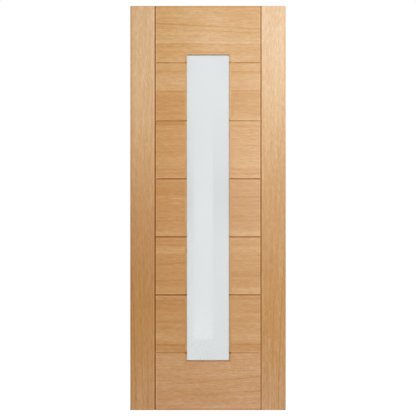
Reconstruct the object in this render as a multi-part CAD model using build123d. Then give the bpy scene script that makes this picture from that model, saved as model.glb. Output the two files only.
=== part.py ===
"""Oak interior door leaf with V-jointed boards and a tall glazed slit.

Two grooved stiles run the full height of the leaf. Seven rows of boards lie between them: a top rail,
five rows of panels and a bottom rail. Every row is tongued into the stiles and into the row above it,
and the chamfered edges form a V groove at each joint, on both faces. The slit is cut through the rows,
and mitred beads hold one pane of obscure glass in it from both faces. Solid oak lippings close the edges.

Frame, in millimetres: X runs across the leaf from the hinge edge, Y through it (the front faces -Y) and
Z up. The origin is on the hinge edge, in the middle of its thickness, at the foot of the leaf.
"""

import os

from build123d import *

# Leaf
leaf_width = 762.0
leaf_height = 1981.0
leaf_thickness = 35.0
lipping = 8.0
arris = 1.0

# Boards: widths and heights are measured to the middle of the V grooves
stile_width = 121.5
top_rail_height = 278.0
bottom_rail_height = 280.0
panel_rows = 5

# V groove between two boards: its width on the face, and its depth
groove_width = 7.0
groove_depth = 3.5

# Tongue-and-groove joint between two boards
tongue_thickness = 10.0
tongue_length = 9.0
tongue_side_gap = 0.15
tongue_end_gap = 0.5

# Glazing: the slit is what shows between the beads, and it runs past the first and last panel row
slit_width = 206.5
slit_past_rows = 40.5
glass_thickness = 5.0
glass_edge_gap = 3.0
bead_width = 10.0
bead_arris = 1.5
bead_seam = 0.5
bead_notch_depth = 5.0

# Places that follow from the sizes above
half_thickness = leaf_thickness / 2
centre_x = leaf_width / 2
field_left = stile_width
field_right = leaf_width - stile_width
panels_bottom = bottom_rail_height
panels_top = leaf_height - top_rail_height
panel_height = (panels_top - panels_bottom) / panel_rows
joint_heights = [panels_top - row * panel_height for row in range(panel_rows + 1)]
slit_left = centre_x - slit_width / 2
slit_right = centre_x + slit_width / 2
slit_bottom = panels_bottom - slit_past_rows
slit_top = panels_top + slit_past_rows
cut_left = slit_left - bead_width
cut_right = slit_right + bead_width
cut_bottom = slit_bottom - bead_width
cut_top = slit_top + bead_width
bead_depth = (leaf_thickness - glass_thickness) / 2


def block(x0, x1, y0, y1, z0, z1):
    """A square-edged block between two corners."""
    corner = (Align.MIN, Align.MIN, Align.MIN)
    return Pos(x0, y0, z0) * Box(x1 - x0, y1 - y0, z1 - z0, align=corner)


def v_cutter(length, depth):
    """A V groove's prism along X from the origin, point inwards (+Y), its face width on the plane Y = 0.

    It stands out of the face by its own depth, so that a cut never ends on the face itself.
    """
    half = groove_width / 2
    section = Polyline((-depth, half * 2), (depth, 0), (-depth, -half * 2), close=True)
    return extrude(Plane.YZ * make_face(section), amount=length)


def v_groove_pair(cutter):
    """The same groove cut in both faces, from one lying on the plane Y = 0."""
    front = Pos(0, -half_thickness, 0) * cutter
    return front + mirror(front, about=Plane.XZ)


def level_grooves(x0, x1, height, depth=groove_depth):
    """Horizontal V grooves in both faces, centred on a joint's height."""
    return v_groove_pair(Pos(x0, 0, height) * v_cutter(x1 - x0, depth))


def upright_grooves(x, z0, z1):
    """Vertical V grooves in both faces, centred on a joint with a stile."""
    upright = Rot(0, -90, 0) * v_cutter(z1 - z0, groove_depth)
    return v_groove_pair(Pos(x, 0, z0) * upright)


def tongue_space(x0, x1, z0, z1):
    """A slab in the middle of the thickness that a tongue fills."""
    half = tongue_thickness / 2
    return block(x0, x1, -half, half, z0, z1)


def groove_space(x0, x1, z0, z1):
    """A slab in the middle of the thickness, wider than the tongue that it takes."""
    half = tongue_thickness / 2 + tongue_side_gap
    return block(x0, x1, -half, half, z0, z1)


def stile(side):
    """One stile, chamfered along its inner edge; side is -1 at the hinge edge and 1 at the lock edge.

    Its groove for the boards' tongues stops short of the top and bottom edges of the leaf.
    """
    outer, inner = (lipping, field_left) if side < 0 else (leaf_width - lipping, field_right)
    groove_end = inner + side * (tongue_length + tongue_end_gap)
    body = block(min(outer, inner), max(outer, inner), -half_thickness, half_thickness, 0, leaf_height)
    body -= groove_space(min(inner, groove_end), max(inner, groove_end), lipping, leaf_height - lipping)
    return body - upright_grooves(inner, 0, leaf_height)


def edge_lipping(side):
    """The solid strip on a long edge of the leaf, with its outer arrises rounded."""
    outer, inner = (0, lipping) if side < 0 else (leaf_width, leaf_width - lipping)
    strip = block(min(outer, inner), max(outer, inner), -half_thickness, half_thickness, 0, leaf_height)
    uprights = strip.edges().filter_by(Axis.Z).sort_by(Axis.X)
    return fillet(uprights[:2] if side < 0 else uprights[2:], arris)


def rail_lipping(side):
    """The solid strip on the top (side 1) or bottom (side -1) edge, between the stiles."""
    outer, inner = (0, lipping) if side < 0 else (leaf_height, leaf_height - lipping)
    low, high = min(outer, inner), max(outer, inner)
    strip = block(field_left, field_right, -half_thickness, half_thickness, low, high)
    levels = strip.edges().filter_by(Axis.X).sort_by(Axis.Z)
    strip = fillet(levels[:2] if side < 0 else levels[2:], arris)
    return strip - upright_grooves(field_left, low, high) - upright_grooves(field_right, low, high)


def board(x0, x1, z0, z1, joints):
    """One board of a row. It is grooved below, tongued above and tongued into the stiles, as its joints say,
    and chamfered on both faces along each joint."""
    left = x0 - tongue_length if "left" in joints else x0
    right = x1 + tongue_length if "right" in joints else x1
    foot = z0 + tongue_length + tongue_end_gap if "below" in joints else z0
    head = z1 + tongue_length if "above" in joints else z1
    body = block(x0, x1, -half_thickness, half_thickness, z0, z1)
    if "below" in joints:
        body -= groove_space(x0, x1, z0, foot)
        body -= level_grooves(x0, x1, z0)
    body += tongue_space(left, right, foot, head)
    if "above" in joints:
        body -= level_grooves(x0, x1, z1)
    if "left" in joints:
        body -= upright_grooves(x0, z0, z1)
    if "right" in joints:
        body -= upright_grooves(x1, z0, z1)
    return body


def slit_cut():
    """The straight cut through the boards that takes the beads and the glass."""
    return block(cut_left, cut_right, -leaf_thickness, leaf_thickness, cut_bottom, cut_top)


def top_rail():
    """The first row, notched round the head of the slit."""
    rail = board(field_left, field_right, panels_top, leaf_height - lipping, ("left", "right", "below"))
    return rail - slit_cut()


def bottom_rail():
    """The last row, notched round the foot of the slit."""
    rail = board(field_left, field_right, lipping, panels_bottom, ("left", "right", "above"))
    return rail - slit_cut()


def panel(side, row):
    """One panel beside the slit; rows count from 1 at the top."""
    foot, head = joint_heights[row], joint_heights[row - 1]
    if side < 0:
        return board(field_left, cut_left, foot, head, ("left", "below", "above"))
    return board(cut_right, field_right, foot, head, ("right", "below", "above"))


def bead(corners, across):
    """A front bead from the (x, z) corners of its face, given outer edge first, with mitred ends.

    The edge beside the glass is rounded, and the one beside the boards is eased to a fine seam. Across is
    the axis from one of these edges to the other.
    """
    outline = Polyline(*corners, close=True)
    body = extrude(Plane.XZ * make_face(outline), amount=bead_depth)
    body = Pos(0, bead_depth - half_thickness, 0) * body
    outer_corner, inner_corner = corners[0], corners[2]
    outward = outer_corner[0] > inner_corner[0] if across == Axis.X else outer_corner[1] > inner_corner[1]
    long_edges = body.faces().sort_by(Axis.Y)[0].edges().sort_by(SortBy.LENGTH)[2:].sort_by(across)
    outer_edge, inner_edge = (long_edges[1], long_edges[0]) if outward else (long_edges[0], long_edges[1])
    body = chamfer(outer_edge, bead_seam)
    inner_edge = body.edges().sort_by_distance(inner_edge.center())[0]
    return fillet(inner_edge, bead_arris)


def front_beads():
    """The four front beads by the side of the slit that they lie on; the upright ones are notched in line
    with the rows' joints."""
    outer = {"left": cut_left, "right": cut_right, "bottom": cut_bottom, "top": cut_top}
    inner = {"left": slit_left, "right": slit_right, "bottom": slit_bottom, "top": slit_top}
    beads = {}
    for name in ("left", "right"):
        corners = (
            (outer[name], outer["bottom"]),
            (outer[name], outer["top"]),
            (inner[name], inner["top"]),
            (inner[name], inner["bottom"]),
        )
        upright = bead(corners, Axis.X)
        start = min(outer[name], inner[name])
        for height in joint_heights:
            upright -= level_grooves(start, start + bead_width, height, bead_notch_depth)
        beads[name] = upright
    for name in ("bottom", "top"):
        corners = (
            (outer["left"], outer[name]),
            (outer["right"], outer[name]),
            (inner["right"], inner[name]),
            (inner["left"], inner[name]),
        )
        beads[name] = bead(corners, Axis.Z)
    return beads


def glass_pane():
    """The pane stands clear of the cut all round and is held between the beads."""
    half = glass_thickness / 2
    gap = glass_edge_gap
    return block(cut_left + gap, cut_right - gap, -half, half, cut_bottom + gap, cut_top - gap)


def door_leaf():
    """Every piece of the leaf by its node's name."""
    pieces = {
        "left_stile": stile(-1),
        "right_stile": stile(1),
        "left_lipping": edge_lipping(-1),
        "right_lipping": edge_lipping(1),
        "top_lipping": rail_lipping(1),
        "bottom_lipping": rail_lipping(-1),
        "top_rail": top_rail(),
        "bottom_rail": bottom_rail(),
        "glass_pane": glass_pane(),
    }
    for row in range(1, panel_rows + 1):
        pieces[f"left_panel_{row}"] = panel(-1, row)
        pieces[f"right_panel_{row}"] = panel(1, row)
    for name, front in front_beads().items():
        pieces[f"front_bead_{name}"] = front
        pieces[f"back_bead_{name}"] = mirror(front, about=Plane.XZ)
    return pieces


os.makedirs("parts", exist_ok=True)
for node, piece in door_leaf().items():
    export_step(piece, f"parts/{node}.step")
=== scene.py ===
"""Looks of the glazed oak door leaf: its oak, its obscure glass, the studio light and the camera.

Metres, in the leaf's own frame: X across from the hinge edge, Y through the leaf (the front faces -Y), Z up.
The figure of the oak is written in millimetres.
"""

import math

import bpy
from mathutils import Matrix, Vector


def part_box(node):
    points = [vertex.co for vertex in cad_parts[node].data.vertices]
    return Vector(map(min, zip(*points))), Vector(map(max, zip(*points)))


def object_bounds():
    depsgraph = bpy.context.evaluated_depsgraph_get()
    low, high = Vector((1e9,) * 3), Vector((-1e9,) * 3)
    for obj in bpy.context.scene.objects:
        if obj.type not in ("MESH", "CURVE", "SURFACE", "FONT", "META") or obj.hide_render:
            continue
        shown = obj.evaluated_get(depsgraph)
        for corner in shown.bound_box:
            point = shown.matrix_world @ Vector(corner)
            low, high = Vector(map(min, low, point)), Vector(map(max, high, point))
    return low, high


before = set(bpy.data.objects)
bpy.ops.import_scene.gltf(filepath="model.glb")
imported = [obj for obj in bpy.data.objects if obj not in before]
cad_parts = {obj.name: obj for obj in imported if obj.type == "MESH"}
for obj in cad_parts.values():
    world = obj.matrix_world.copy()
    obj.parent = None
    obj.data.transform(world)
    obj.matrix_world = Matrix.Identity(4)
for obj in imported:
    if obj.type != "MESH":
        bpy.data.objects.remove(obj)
cad_low, cad_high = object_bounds()

mm = 0.001

# Places on the leaf, read from its pieces
leaf_width = cad_high.x
leaf_height = cad_high.z
face = cad_high.y
middle = leaf_width / 2
glass_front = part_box("glass_pane")[0].y
left_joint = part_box("left_stile")[1].x
right_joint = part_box("right_stile")[0].x
field_width = right_joint - left_joint
slit_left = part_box("front_bead_left")[1].x
slit_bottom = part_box("front_bead_bottom")[1].z
slit_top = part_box("front_bead_top")[0].z
panel_rows = 5
row_nodes = [("top_rail",)]
row_nodes += [(f"left_panel_{row}", f"right_panel_{row}") for row in range(1, panel_rows + 1)]
row_nodes += [("bottom_rail",)]
level_joints = [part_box(nodes[0])[0].z for nodes in row_nodes[:-1]]
row_tops = [leaf_height] + level_joints
# Where the values for the left of the leaf turn into those for the right
crossing = (0.36 * leaf_width, 0.64 * leaf_width)

# Camera: it stands level with the middle of the leaf
camera_distance = 4.0
image_pixels = 416
pixels_per_metre = 204.1
sensor = 36.0

# Lamps: a soft one high on the right, a smaller one below it, one high behind the leaf, a weak one over it
# and, on the floor in front, a weak one of narrow spread for what faces down. Power is in watts and spread in
# degrees.
lamps = {
    "key": dict(place=(2.3, -3.4, 2.6), aim=(0.40, 0.0, 1.10), width=1.0, height=1.6, power=119.0),
    "side": dict(place=(1.2, -3.6, 1.25), aim=(0.50, 0.0, 1.0), width=0.5, height=1.8, power=36.0),
    "rear": dict(place=(-1.5, 3.1, 3.2), aim=(0.40, 0.0, 1.0), width=1.2, height=1.6, power=135.0),
    "top": dict(place=(middle, 0.0, 3.4), aim=(middle, 0.0, 0.0), width=0.9, height=0.5, power=5.0),
    "low": dict(
        place=(middle, -0.22, 0.02), aim=(middle, -0.22, 2.0), width=0.5, height=0.1, power=0.45, spread=26.0
    ),
}

# The even fill from all round
fill_level = 0.30

# The floor: its reach past the leaf, its height and the light that it throws back. For the camera, its glow
# and the share of the lamps' light, and so of the shadow, that it adds to that.
floor_reach, floor_height = 1.2, -0.001
floor_bounce = 0.52
floor_glow, floor_shadow = 0.95, 0.12

# The pale strip that only the pane mirrors
strip_distance = 2.0
strip_left, strip_right, strip_foot, strip_head = 0.2745, 0.4177, 0.0205, 2.2

# Values that change with height: a level, a swell by its height, half height and gain, and ramps by the
# heights where they start and end and by what they add
strip_glow = dict(level=1.95, swell=(1.05, 0.22, 1.15), ramps=[(1.2, 1.9, -0.8), (0.30, 0.12, 0.6)])
# Painted shade and light on the glass: deeper in a band about the middle, paler near the top
glass_painted_shade = dict(level=0.31, swell=(1.05, 0.17, 0.45), ramps=[(0.50, 0.78, 0.08), (1.3, 1.6, -0.30)])

# Glass: pale and deep as linear colours, its roughness, and the noise of its cloud and its grit, in cells to
# the metre and detail, with what they add
glass_pale, glass_deep, glass_roughness = (0.716, 0.746, 0.754), (0.597, 0.622, 0.630), 0.24
cloud_noise, cloud_shade, cloud_roughness = ((9.0, 9.0, 4.0), 3.0), 0.15, 0.06
grit_noise, grit_strength, grit_height = ((1800.0, 1800.0, 1800.0), 1.0), 0.05, 0.0002

# Oak with its grain along X and Z: pale and deep as linear colours, how far the grain sways and stands out,
# and the lacquer's roughness, gloss and stretch of its highlights
oak_kinds = {
    "X": dict(
        pale=(0.547, 0.331, 0.150), deep=(0.380, 0.155, 0.0235), sway=0.7, contrast=0.95,
        roughness=0.36, gloss=0.62, stretch=0.2,
    ),
    "Z": dict(
        pale=(0.532, 0.332, 0.155), deep=(0.370, 0.155, 0.0243), sway=0.4, contrast=1.0,
        roughness=0.41, gloss=0.70, stretch=0.8,
    ),
}
palest_shade = -0.4
pore_oak, pore_share = (0.230, 0.090, 0.020), 0.6
# The foot of the leaf has a cooler tint, which fades out between these heights
foot_tint, foot_heights = (1.01, 0.965, 1.14), (0.6, 0.05)

# Noise in the grain, in cells to the metre along it, across it and through the board. Its sways from a
# straight line, with their reach:
grain_sways = [((1.3, 5.0, 30.0), 0.026), ((4.5, 15.0, 50.0), 0.010), ((16.0, 55.0, 60.0), 0.0030)]
# The layers that follow that line, with their detail, roughness and share of the shade:
grain_layers = {
    "bands": ((1.2, 22.0, 40.0), 3.0, 0.55, 0.30),
    "stripes": ((4.0, 80.0, 70.0), 3.0, 0.6, 0.34),
    "lines": ((9.0, 270.0, 90.0), 3.0, 0.6, 0.58),
    "flecks": ((40.0, 340.0, 90.0), 2.0, 0.6, 1.25),
    "hairs": ((30.0, 800.0, 200.0), 2.0, 0.6, 0.45),
}
# A mottle that doesn't follow it, and the pores, cut from noise where the stripes leave the wood open:
mottle_noise, mottle_share = ((16.0, 45.0, 60.0), 3.0, 0.6), 0.28
pore_noise, pore_cut, open_wood = ((60.0, 1500.0, 400.0), 1.0), (0.09, 0.18), (-0.15, 0.20)
# How far a board's seed moves it through the noise, along the grain, across it and through the board
seed_shift = (1.7, 0.37, 3.1)

# The lacquered surface: roughness and height from the hairs and pores. Faces that turn up or down past the
# limits given are rougher and, on upright boards, where they are end grain, darker.
hair_roughness, pore_roughness, end_roughness = 0.15, 0.20, 0.3
hair_height, pore_depth = 0.6, 0.8
bump_strength, bump_distance = 0.25, 0.0004
end_grain = 0.45
end_facing = (0.93, 0.98)

# V grooves: the tint of their stain and painted shade, how much of it is left on the right of the leaf,
# where the lamps fall, and how far a chamfer turns to one side. The arrises beside a groove, which carry
# a painted highlight: their place from its middle, and half their width.
groove_stain_shade_tint, stain_shade_right = (0.58, 0.29, 0.07), 0.55
chamfer_start, chamfer_end = (0.50, 0.62), (0.95, 0.88)
arris_place, arris_half_width = 0.0055, 0.0024
# How strongly they are stained and darkened with painted shade: the chamfers that face up and down at each
# level groove, from the top, both sides of the upright ones, and the notches in the beads, which are clean
# above the first height and fully darkened below the second
up_stain_shades = [0.05, 0.32, 1.0, 0.92, 1.0, 0.0]
down_stain_shades = [0.0, 0.04, 0.28, 0.30, 0.38, 0.0]
board_left_stain_shade, stile_left_stain_shade, right_stain_shade = 1.0, 0.80, 0.80
notch_stain_shade, notch_heights = 1.0, (1.3, 0.25)
# How much paler the arrises are painted: a painted highlight where they catch the light
level_arris_highlights = [0.0, 0.0, 0.20, 0.20, 0.25, 0.0]
upright_arris_highlights = {"left": 0.17, "right": 0.10}

# The rows of boards from the top: their tone, what each side adds to it as painted light, paler on the right
# where the lamps fall, and their figure.
# Streaks: depth below the row's top, fall from stile to stile, half width, and strength left and right.
# Flecks: depth, place from the hinge edge, half length, half width and strength.
# Stretches of painted sheen, paler where the lamps shine: place from the hinge edge, half length and
# strength.
rows = [
    dict(
        tone=0.22,
        streaks=[
            (97, 27, 4, 0.38, 0.32), (88, 0, 25, 0.10, 0), (120, 27, 3, 0.12, 0.20), (148, 8, 5, 0.14, 0),
            (177, 5, 6, -0.14, -0.14), (188, 2, 4, 0.22, 0.16), (215, 0, 24, 0.18, 0.03),
            (231, 0, 14, 0, 0.14), (37, 0, 16, -0.05, 0.06),
        ],
        # Painted sheen: the middle of the top rail paler
        sheen_stretches=[(381, 140, -0.18)],
    ),
    dict(
        tone=0.36,
        streaks=[
            (20, 0, 15, -0.10, -0.10), (46, 8, 4, 0.20, 0.25), (95, 0, 42, -0.22, -0.20),
            (142, -2, 3.5, 0.35, 0.30), (213, 0, 70, 0.20, 0.15), (169, 0, 4, 0.15, 0.05),
            (213, 0, 4, 0.10, 0.15), (252, 0, 8, 0.15, 0), (277, 0, 12, 0, -0.18),
        ],
    ),
    dict(
        tone=0.48,
        side_light=(0.06, -0.08),
        streaks=[
            (13, 0, 12, 0.35, -0.12), (26, 0, 8, 0, 0.20), (124, 0, 3, 0.10, 0.10), (153, 0, 3, 0.12, 0.05),
            (195, 0, 28, -0.10, -0.08), (239, 0, 5, 0.25, 0.20), (259, 0, 4, 0.15, 0.20),
            (280, 0, 5, -0.18, 0),
        ],
    ),
    dict(
        tone=0.61,
        side_light=(0.05, -0.05),
        streaks=[
            (64, 0, 20, 0.18, 0.04), (92, 0, 6, 0, 0.26), (170, 0, 70, 0.02, 0.12), (187, 0, 3, 0.15, 0.15),
            (205, 0, 4, 0.20, 0.20), (268, 0, 14, -0.25, -0.30),
        ],
        flecks=[(96, 228, 38, 3.5, -0.50), (120, 222, 22, 3.0, -0.30)],
    ),
    dict(
        tone=0.60,
        side_light=(0.06, -0.06),
        streaks=[
            (42, 0, 4, 0.25, 0.15), (66, 0, 17, -0.30, -0.10), (124, -22, 3.5, 0.32, 0.15),
            (187, 0, 12, 0, 0.30), (216, 0, 4, 0.22, 0), (267, 0, 16, -0.10, -0.32),
        ],
    ),
    dict(
        tone=0.47,
        side_light=(0.06, -0.06),
        streaks=[
            (10, 0, 9, 0, 0.24), (24, -10, 4, 0.30, 0.10), (55, 0, 32, 0.20, 0.15), (98, 0, 8, 0.10, -0.08),
            (133, 0, 7, 0.15, 0.05), (208, 0, 22, -0.25, -0.18), (243, -3, 4, 0.40, 0.35),
            (260, 0, 16, 0.15, 0.15), (280, 0, 6, -0.06, -0.22),
        ],
    ),
    dict(
        tone=0.23,
        streaks=[
            (139, -43, 4, 0.16, 0.22), (200, -20, 4, 0.08, 0.20), (190, -20, 28, 0.13, 0.02),
            (90, 0, 35, 0, -0.06), (10, 0, 14, 0.13, 0.02), (120, 0, 40, 0.07, 0), (262, 0, 14, 0, -0.20),
        ],
    ),
]
row_seed = 3.0

# The stiles, with their lippings and beads: where the outer edge lies and which way is inwards from it, the
# tone, the darker stretch of the board, the place of its first arched line, how dark the lipping's outer edge
# is painted, a painted shade strongest on the left away from the lamps, and the bead's tone and the painted
# light on its arris beside the glass
stiles = {
    "left": dict(
        seed=1.0, outer=0.0, inward=1.0, joint=left_joint, stain_shades=(0, 0, 0, stile_left_stain_shade),
        tone=0.12, dark_stretch=(720, 600, 0.76), arch=27, edge_shade=0.45,
        bead_tone=0.58, painted_bead_edge=("X", slit_left, 0.30),
    ),
    "right": dict(
        seed=2.0, outer=leaf_width, inward=-1.0, joint=right_joint, stain_shades=(0, 0, right_stain_shade, 0),
        tone=-0.12, dark_stretch=(820, 800, 0.75), arch=33, edge_shade=0.10,
        bead_tone=0.45, painted_bead_edge=None,
    ),
}
# Lines along a stile: place at the foot, from the outer edge, bend outwards by the first metre, half width
# and strength. The arched ones are placed from the first of them.
stile_arches = [(0, 43, 2.4, 0.45), (35, 42, 3.5, 0.14), (60, 40, 4.0, 0.10)]
stile_line = (8, 0, 2.0, 0.25)
# The painted shade along each lipping's outer edge: place at the foot, bend and half width
lipping_shade_line = (5, 0, 3.5)
lipping_seed, bead_seed = 20.0, 30.0

# The lippings and beads at the leaf's and the slit's ends. The top bead's edge beside the glass has painted
# light, the bottom one's a painted shadow line.
ends = {
    "top": dict(seed=41.0, painted_bead_edge=("Z", slit_top, 0.35)),
    "bottom": dict(seed=42.0, painted_bead_edge=("Z", slit_bottom, -0.60)),
}
end_bead_seed, end_bead_tone = 10.0, 0.3


class Field:
    """One value in a material's graph, so that a formula can be written with plain signs."""

    def __init__(self, graph, socket):
        self.graph = graph
        self.socket = socket

    def __add__(self, other):
        return self.graph.math("ADD", self, other)

    def __sub__(self, other):
        return self.graph.math("SUBTRACT", self, other)

    def __mul__(self, other):
        return self.graph.math("MULTIPLY", self, other)

    def __truediv__(self, other):
        return self.graph.math("DIVIDE", self, other)

    def __neg__(self):
        return self.graph.math("MULTIPLY", self, -1.0)

    def __abs__(self):
        return self.graph.math("ABSOLUTE", self)

    def bell(self, half_width):
        """One at zero, falling away on both sides over this half width."""
        share = self / half_width
        return self.graph.math("POWER", math.e, -(share * share))

    def band(self, half_width):
        """One about zero, falling away on both sides near this half width."""
        share = self / half_width
        square = share * share
        return self.graph.math("POWER", math.e, -(square * square))

    def rise(self, low, high):
        """From 0 at the first value to 1 at the second, smoothly. The second may be the lower one."""
        node = self.graph.nodes.new("ShaderNodeMapRange")
        node.interpolation_type = "SMOOTHSTEP"
        node.inputs["From Min"].default_value = low
        node.inputs["From Max"].default_value = high
        self.graph.plug(node.inputs["Value"], self)
        return Field(self.graph, node.outputs["Result"])


class Graph:
    """The node tree of a material or of the world, cleared, with short ways to add to it."""

    def __init__(self, tree):
        self.tree = tree
        self.nodes = tree.nodes
        self.nodes.clear()

    def plug(self, socket, value):
        if isinstance(value, Field):
            self.tree.links.new(value.socket, socket)
        else:
            socket.default_value = value

    def math(self, operation, *values):
        node = self.nodes.new("ShaderNodeMath")
        node.operation = operation
        for socket, value in zip(node.inputs, values):
            self.plug(socket, value)
        return Field(self, node.outputs[0])

    def combine(self, kind, values):
        node = self.nodes.new(kind)
        for socket, value in zip(node.inputs, values):
            self.plug(socket, value)
        return Field(self, node.outputs[0])

    def vector(self, *parts):
        return self.combine("ShaderNodeCombineXYZ", parts)

    def colour(self, *channels):
        return self.combine("ShaderNodeCombineColor", channels)

    def parts(self, socket):
        node = self.nodes.new("ShaderNodeSeparateXYZ")
        self.tree.links.new(socket, node.inputs[0])
        return [Field(self, output) for output in node.outputs]

    def place(self):
        """X, Y and Z on the leaf."""
        return self.parts(self.nodes.new("ShaderNodeTexCoord").outputs["Object"])

    def facing(self):
        """How far the surface faces along X, Y and Z."""
        return self.parts(self.nodes.new("ShaderNodeNewGeometry").outputs["True Normal"])

    def noise(self, place, cells, detail=2.0, roughness=0.5):
        """Smooth noise about zero, with this many cells to the metre along each part of the place."""
        node = self.nodes.new("ShaderNodeTexNoise")
        node.inputs["Scale"].default_value = 1.0
        node.inputs["Detail"].default_value = detail
        node.inputs["Roughness"].default_value = roughness
        scaled = [part * count for part, count in zip(place, cells)]
        self.plug(node.inputs["Vector"], self.vector(*scaled))
        return Field(self, node.outputs["Fac"]) - 0.5

    def mix(self, share, first, second, blend="MIX"):
        """One colour turning into another as the share goes from 0 to 1."""
        node = self.nodes.new("ShaderNodeMix")
        node.data_type = "RGBA"
        node.blend_type = blend
        colours = [socket for socket in node.inputs if socket.type == "RGBA"]
        self.plug(node.inputs[0], share)
        for socket, value in zip(colours, (first, second)):
            self.plug(socket, value if isinstance(value, Field) else (*value, 1.0))
        return Field(self, node.outputs[2])

    def tint(self, share, colour, tint):
        """A colour that is multiplied by a tint as the share goes from 0 to 1."""
        return self.mix(share, colour, self.mix(1.0, colour, tint, "MULTIPLY"))

    def bump(self, height, strength, distance):
        node = self.nodes.new("ShaderNodeBump")
        node.inputs["Strength"].default_value = strength
        node.inputs["Distance"].default_value = distance
        self.plug(node.inputs["Height"], height)
        return Field(self, node.outputs["Normal"])

    def show(self, shader, output="ShaderNodeOutputMaterial"):
        """Make this shader what the material or the world shows."""
        node = self.nodes.new(output)
        self.tree.links.new(shader.outputs[0], node.inputs["Surface"])

    def surface(self, **sockets):
        """Show a principled surface with these sockets set."""
        shader = self.nodes.new("ShaderNodeBsdfPrincipled")
        for name, value in sockets.items():
            self.plug(shader.inputs[name.replace("_", " ")], value)
        self.show(shader)


def new_material(name):
    material = bpy.data.materials.new(name)
    material.use_nodes = True
    return material, Graph(material.node_tree)


def dress(node, material):
    """Give a piece of the leaf this material all over."""
    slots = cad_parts[node].data.materials
    slots.clear()
    slots.append(material)


def left_to_right(x, left, right):
    """A value on the left of the leaf that turns into another on the right."""
    return x.rise(*crossing) * (right - left) + left


def height_profile(z, level, swell, ramps):
    """A value that changes with height: a level, with a swell about one height and ramps between others."""
    height, half_height, gain = swell
    value = (z - height).bell(half_height) * gain + level
    for start, end, change in ramps:
        value = value + z.rise(start, end) * change
    return value


def grain(graph, length, across, depth, sway):
    """The line that the grain follows, the bare oak's shade about zero, its fine hairs and its open pores.

    They come from the places along the grain, across it and through the board, and from how far it sways.
    """
    line = across
    for cells, reach in grain_sways:
        line = line + graph.noise((length, across, depth), cells) * (reach * sway)
    shade = graph.noise((length, across, depth), *mottle_noise) * mottle_share
    layers = {}
    for name, (cells, detail, roughness, share) in grain_layers.items():
        layers[name] = graph.noise((length, line, depth), cells, detail, roughness)
        shade = shade + layers[name] * share
    pores = graph.noise((length, line, depth), *pore_noise).rise(*pore_cut)
    return line, shade, layers["hairs"], pores * layers["stripes"].rise(*open_wood)


def oak(
    name, along, seed, figure=(), tone=0.5, stain_shades=(0, 0, 0, 0), joints=(), painted_edge=None, stain_shade_heights=None
):
    """Lacquered oak with its grain along X or Z, from pale at a tone of 0 to deep at 1.

    The figure holds functions that take the place along the grain and the place across it, and give what they
    add to the tone. Stain and painted shade darken the chamfers that face up, down, to the left and to the
    right. They are weaker on the right of the leaf or, with their heights, clean at the first and full at the
    second. Each joint is an axis, the place of a groove and how much paler its arrises are painted, a painted
    highlight, and the painted edge gives the same for a single arris, where a value below zero paints shade.
    """
    material, graph = new_material(name)
    kind = oak_kinds[along]
    place = dict(zip("XYZ", graph.place()))
    length, across = (place["Z"], place["X"]) if along == "Z" else (place["X"], place["Z"])
    along_shift, across_shift, depth_shift = [seed * shift for shift in seed_shift]
    line, shade, hairs, pores = grain(
        graph, length + along_shift, across + across_shift, place["Y"] + depth_shift, kind["sway"]
    )
    side, _, up = graph.facing()
    end_faces = abs(up).rise(*end_facing)
    shade = shade * kind["contrast"] + tone
    if along == "Z":
        shade = shade + end_faces * end_grain
    for mark in figure:
        shade = shade + mark(length, line - across_shift)
    # Painted highlights: the arrises beside each groove paler
    for axis, centre, painted_light in joints:
        shade = shade - (abs(place[axis] - centre) - arris_place).band(arris_half_width) * painted_light
    # Painted light on one arris beside the glass, painted shade where the value is below zero
    if painted_edge:
        axis, centre, painted_light = painted_edge
        shade = shade - (place[axis] - centre).band(arris_half_width) * painted_light
    shade = graph.math("MAXIMUM", shade, palest_shade)

    colours = zip(kind["pale"], kind["deep"])
    colour = graph.colour(*[graph.math("POWER", deep / pale, shade) * pale for pale, deep in colours])
    colour = graph.mix(pores * pore_share, colour, pore_oak)
    colour = graph.tint(place["Z"].rise(*foot_heights), colour, foot_tint)
    if stain_shade_heights:
        kept = place["Z"].rise(*stain_shade_heights)
    else:
        kept = left_to_right(place["X"], 1.0, stain_shade_right)
    # Stain and painted shade: the chamfers of grooves and notches darkened, less on the right, where the
    # lamps fall, and above the notch heights
    for facing, stain_shade in zip((up, -up, -side, side), stain_shades):
        if stain_shade:
            chamfer = facing.rise(*chamfer_start) * facing.rise(*chamfer_end) * kept
            colour = graph.tint(chamfer * stain_shade, colour, groove_stain_shade_tint)

    # The lacquer shines across the fibres
    tangent = graph.nodes.new("ShaderNodeTangent")
    tangent.direction_type = "RADIAL"
    tangent.axis = along
    fine_roughness = hairs * hair_roughness + pores * pore_roughness + end_faces * end_roughness
    graph.surface(
        Base_Color=colour,
        Roughness=fine_roughness + kind["roughness"],
        Specular_IOR_Level=kind["gloss"],
        Anisotropic=kind["stretch"],
        Tangent=Field(graph, tangent.outputs[0]),
        Normal=graph.bump(hairs * hair_height - pores * pore_depth, bump_strength, bump_distance),
    )
    return material


def row_streak(top, depth, fall, half_width, left, right):
    """A streak that crosses a row, at a depth below the row's top."""

    def mark(x, height):
        course = (x - middle) * (fall * mm / field_width) + (depth * mm - top)
        return (height + course).band(half_width * mm) * left_to_right(x, left, right)

    return mark


def row_fleck(top, depth, centre, half_length, half_width, strength):
    """A short fleck in a row, at a depth below the row's top."""

    def mark(x, height):
        reach = (x - centre * mm).band(half_length * mm)
        return (height + (depth * mm - top)).bell(half_width * mm) * reach * strength

    return mark


def painted_side_light(left, right):
    """Painted light: the two sides of a row differ, the right paler where the lamps fall."""

    def mark(x, height):
        return left_to_right(x, left, right)

    return mark


def board_stretch(centre, half_length, strength):
    """A stretch of a board, along its grain, that is darker or paler than the rest."""

    def mark(length, across):
        return (length - centre * mm).bell(half_length * mm) * strength

    return mark


def upright_line(outer, inward, foot, bend, half_width, strength):
    """A line along a stile that bends towards the outer edge with the square of the height."""

    def mark(height, x):
        course = height * height * (bend * mm) - foot * mm
        return ((x - outer) * inward + course).band(half_width * mm) * strength

    return mark


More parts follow.
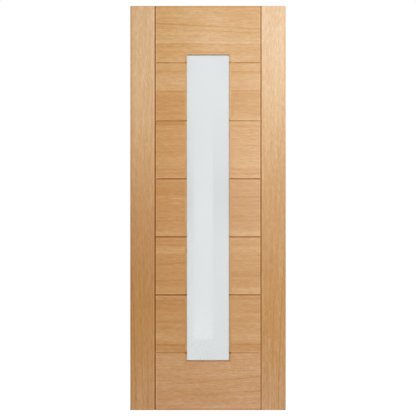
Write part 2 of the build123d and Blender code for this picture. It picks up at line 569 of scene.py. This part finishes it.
def dress_rows():
    """Each row of boards has one material, which carries on across the slit."""
    for number, (row, nodes, top) in enumerate(zip(rows, row_nodes, row_tops)):
        above, below = number - 1, number
        joints = [("X", left_joint, upright_arris_highlights["left"]), ("X", right_joint, upright_arris_highlights["right"])]
        for joint in (above, below):
            if 0 <= joint < len(level_joints):
                joints.append(("Z", level_joints[joint], level_arris_highlights[joint]))
        figure = [row_streak(top, *streak) for streak in row["streaks"]]
        figure += [row_fleck(top, *fleck) for fleck in row.get("flecks", [])]
        figure += [board_stretch(*stretch) for stretch in row.get("sheen_stretches", [])]
        # Painted light: the row paler on its right side than on its left
        if "side_light" in row:
            figure.append(painted_side_light(*row["side_light"]))
        up_stain_shade, down_stain_shade = ([0] + up_stain_shades)[number], (down_stain_shades + [0])[number]
        material = oak(
            f"oak_row_{number + 1}",
            "X",
            row_seed + number,
            figure,
            row["tone"],
            (up_stain_shade, down_stain_shade, board_left_stain_shade, right_stain_shade),
            joints,
        )
        for node in nodes:
            dress(node, material)


def dress_stiles():
    """The stiles, and the lippings and beads that stand upright beside them."""
    for side, stile in stiles.items():
        seed, tone = stile["seed"], stile["tone"]
        place = stile["outer"], stile["inward"]
        dark_stretch = board_stretch(*stile["dark_stretch"])
        figure = [upright_line(*place, stile["arch"] + foot, *line) for foot, *line in stile_arches]
        figure += [upright_line(*place, *stile_line), dark_stretch]
        joints = [("X", stile["joint"], upright_arris_highlights[side])]
        dress(f"{side}_stile", oak(f"oak_{side}_stile", "Z", seed, figure, tone, stile["stain_shades"], joints))

        # Painted shade: the lipping darker along its outer edge, most on the left, away from the lamps
        figure = [dark_stretch, upright_line(*place, *lipping_shade_line, stile["edge_shade"])]
        dress(f"{side}_lipping", oak(f"oak_{side}_lipping", "Z", seed + lipping_seed, figure, tone))

        bead = oak(
            f"oak_{side}_bead",
            "Z",
            seed + bead_seed,
            tone=stile["bead_tone"],
            stain_shades=(notch_stain_shade, notch_stain_shade, 0, 0),
            painted_edge=stile["painted_bead_edge"],
            stain_shade_heights=notch_heights,
        )
        dress(f"front_bead_{side}", bead)
        dress(f"back_bead_{side}", bead)


def dress_ends():
    """The lippings at the top and bottom edges of the leaf, and the beads at the ends of the slit."""
    for name, end in ends.items():
        seed = end["seed"]
        stain_shades = (0, 0, board_left_stain_shade, right_stain_shade)
        dress(f"{name}_lipping", oak(f"oak_{name}_lipping", "X", seed, stain_shades=stain_shades))
        bead = oak(f"oak_{name}_bead", "X", seed + end_bead_seed, tone=end_bead_tone, painted_edge=end["painted_bead_edge"])
        dress(f"front_bead_{name}", bead)
        dress(f"back_bead_{name}", bead)


def obscure_glass():
    """Sand-blasted glass: cloudy all through, with a smooth polished skin in front."""
    material, graph = new_material("obscure_glass")
    place = graph.place()
    cloud = graph.noise(place, *cloud_noise)
    grit = graph.noise(place, *grit_noise)
    # Painted shade and light: the glass deeper about the middle and paler near the top, with its cloud
    shade = height_profile(place[2], **glass_painted_shade) + cloud * cloud_shade
    graph.surface(
        Base_Color=graph.mix(shade, glass_pale, glass_deep),
        Roughness=cloud * cloud_roughness + glass_roughness,
        Transmission_Weight=0.97,
        Specular_IOR_Level=0.1,
        IOR=1.45,
        Coat_Weight=1.0,
        Coat_Roughness=0.05,
        Coat_IOR=1.5,
        Normal=graph.bump(grit, grit_strength, grit_height),
    )
    return material


def seen_rays(graph):
    """One for the rays that show the background: straight to the camera, mirrored, or through glass."""
    path = graph.nodes.new("ShaderNodeLightPath")
    seen = Field(graph, path.outputs["Is Camera Ray"])
    for name in ("Is Glossy Ray", "Is Transmission Ray"):
        seen = graph.math("MAXIMUM", seen, Field(graph, path.outputs[name]))
    return seen


def studio_world():
    """White to look at, and an even fill as light."""
    world = bpy.data.worlds.new("studio")
    world.use_nodes = True
    bpy.context.scene.world = world
    graph = Graph(world.node_tree)
    background = graph.nodes.new("ShaderNodeBackground")
    background.inputs["Color"].default_value = (1, 1, 1, 1)
    graph.plug(background.inputs["Strength"], seen_rays(graph) * (1.0 - fill_level) + fill_level)
    graph.show(background, "ShaderNodeOutputWorld")


def stage_sheet(name, corners):
    """A flat sheet of the studio between four corners, with the graph of its own material."""
    mesh = bpy.data.meshes.new(name)
    mesh.from_pydata(corners, [], [(0, 1, 2, 3)])
    sheet = bpy.data.objects.new(name, mesh)
    bpy.context.scene.collection.objects.link(sheet)
    material, graph = new_material(name)
    mesh.materials.append(material)
    return sheet, graph


def studio_floor():
    """A white floor under the leaf that takes a faint shadow."""
    left, right = -floor_reach, leaf_width + floor_reach
    corners = [(left, -floor_reach), (right, -floor_reach), (right, floor_reach), (left, floor_reach)]
    floor, graph = stage_sheet("floor", [(x, y, floor_height) for x, y in corners])
    pale = graph.nodes.new("ShaderNodeBsdfDiffuse")
    pale.inputs["Color"].default_value = (floor_bounce, floor_bounce, floor_bounce, 1)
    straight = Field(graph, graph.nodes.new("ShaderNodeLightPath").outputs["Is Camera Ray"])
    shadow_catch = graph.nodes.new("ShaderNodeBsdfDiffuse")
    graph.plug(shadow_catch.inputs["Color"], straight * floor_shadow)
    glow = graph.nodes.new("ShaderNodeEmission")
    graph.plug(glow.inputs["Strength"], straight * (floor_glow - 1.0) + 1.0)
    seen = graph.nodes.new("ShaderNodeAddShader")
    graph.tree.links.new(shadow_catch.outputs[0], seen.inputs[0])
    graph.tree.links.new(glow.outputs[0], seen.inputs[1])
    either = graph.nodes.new("ShaderNodeMixShader")
    graph.plug(either.inputs[0], seen_rays(graph))
    graph.tree.links.new(pale.outputs[0], either.inputs[1])
    graph.tree.links.new(seen.outputs[0], either.inputs[2])
    graph.show(either)


def mirrored_strip():
    """A pale upright strip in front of the leaf, brightest about the middle, that only a mirror shows."""
    corners = [
        (strip_left, strip_foot),
        (strip_right, strip_foot),
        (strip_right, strip_head),
        (strip_left, strip_head),
    ]
    strip, graph = stage_sheet("strip", [(x, glass_front - strip_distance, z) for x, z in corners])
    glow = graph.nodes.new("ShaderNodeEmission")
    graph.plug(glow.inputs["Strength"], height_profile(graph.place()[2], **strip_glow))
    graph.show(glow)
    strip.visible_camera = False
    strip.visible_diffuse = False
    strip.visible_transmission = False
    strip.visible_shadow = False


def area_lamp(name, place, aim, width, height, power, spread=180.0):
    """A soft lamp, kept out of the rays that pass through the pane."""
    data = bpy.data.lights.new(name, "AREA")
    data.shape = "RECTANGLE"
    data.size = width
    data.size_y = height
    data.energy = power
    data.spread = math.radians(spread)
    lamp = bpy.data.objects.new(name, data)
    lamp.location = place
    lamp.rotation_euler = (Vector(aim) - Vector(place)).to_track_quat("-Z", "Y").to_euler()
    lamp.visible_transmission = False
    bpy.context.scene.collection.objects.link(lamp)


def studio_camera():
    data = bpy.data.cameras.new("camera")
    data.sensor_width = sensor
    data.lens = sensor * camera_distance * pixels_per_metre / image_pixels
    camera = bpy.data.objects.new("camera", data)
    camera.location = (middle, -face - camera_distance, leaf_height / 2)
    camera.rotation_euler = (math.pi / 2, 0, 0)
    bpy.context.scene.collection.objects.link(camera)
    bpy.context.scene.camera = camera


dress_rows()
dress_stiles()
dress_ends()
dress("glass_pane", obscure_glass())
studio_world()
studio_floor()
studio_camera()
for lamp_name, lamp_values in lamps.items():
    area_lamp(lamp_name, **lamp_values)
mirrored_strip()
bpy.context.scene.view_settings.view_transform = "Standard"
